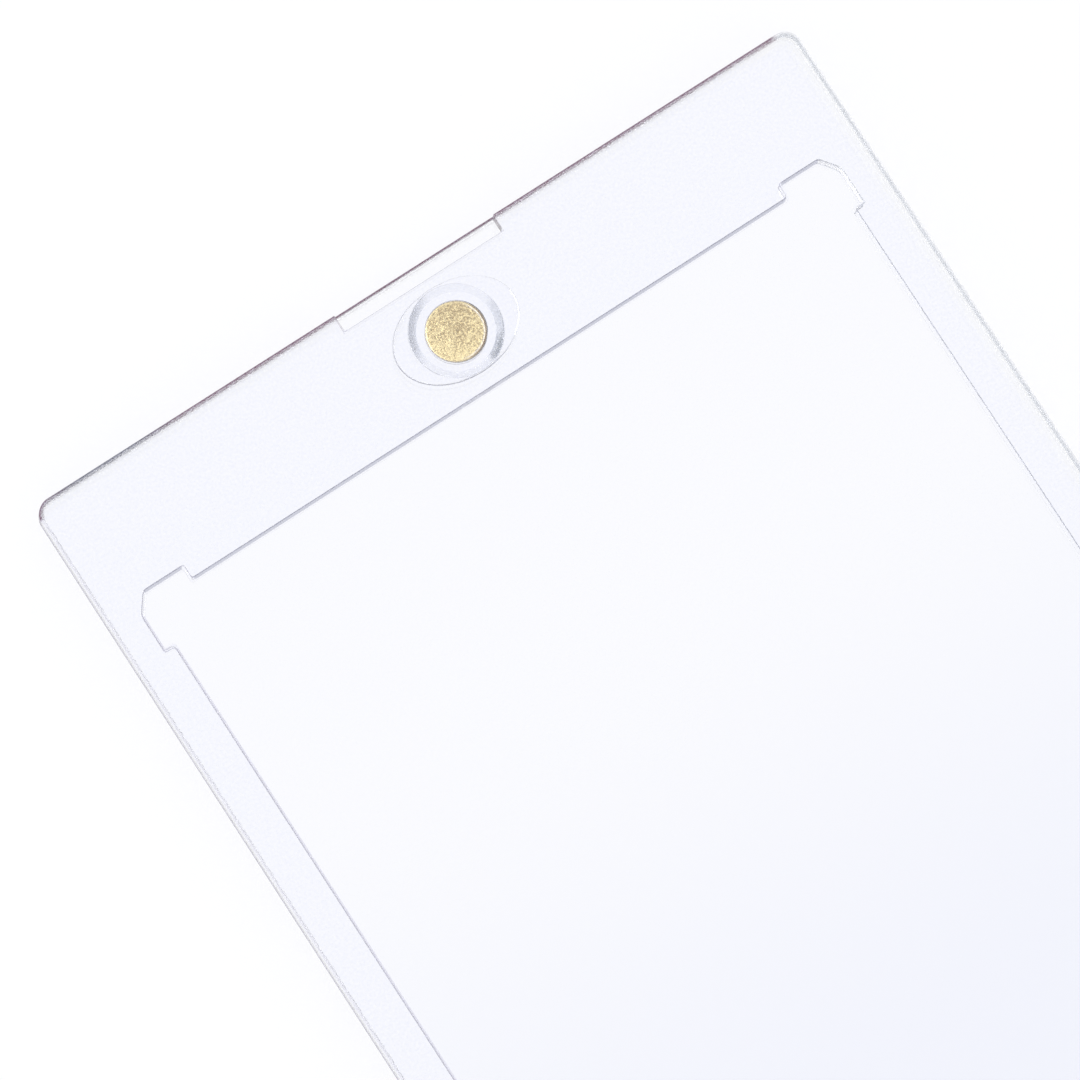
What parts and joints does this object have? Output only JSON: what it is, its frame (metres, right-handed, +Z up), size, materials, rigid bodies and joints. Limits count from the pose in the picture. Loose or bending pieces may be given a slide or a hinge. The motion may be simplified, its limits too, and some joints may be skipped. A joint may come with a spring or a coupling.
{
  "type": "trading card display case",
  "caption": "Flat clear plastic case for a trading card: a hooked lid with a finger notch shuts on a recessed tray, held by two gold disc magnets, one under an oval cap.",
  "frame": {"origin": "middle of the rear outer face, on the surface that the case lies on", "axes": "+X across the case, +Y along it towards the magnets and the finger notch, +Z up through its thickness towards the front"},
  "size_m": [0.072, 0.1098, 0.0048],
  "materials": {
    "clear_plastic": "clear, faintly violet, polished faces with fine-grained side walls",
    "clear_cap": "clear, polished",
    "gold_plating": "gold-coloured plating with a fine etched grain"
  },
  "bodies": {
    "tray": {"rear_cover": "clear_plastic", "rear_magnet": "gold_plating"},
    "lid": {"front_cover": "clear_plastic", "front_magnet_cap": "clear_cap", "front_magnet": "gold_plating"}
  },
  "joints": [
    {"name": "lid_hinge", "type": "hinge", "parent": "tray", "child": "lid", "pos_m": [0, -0.05495, 0.0024], "axis": [1, 0, 0], "range_deg": [0, 75]}
  ]
}
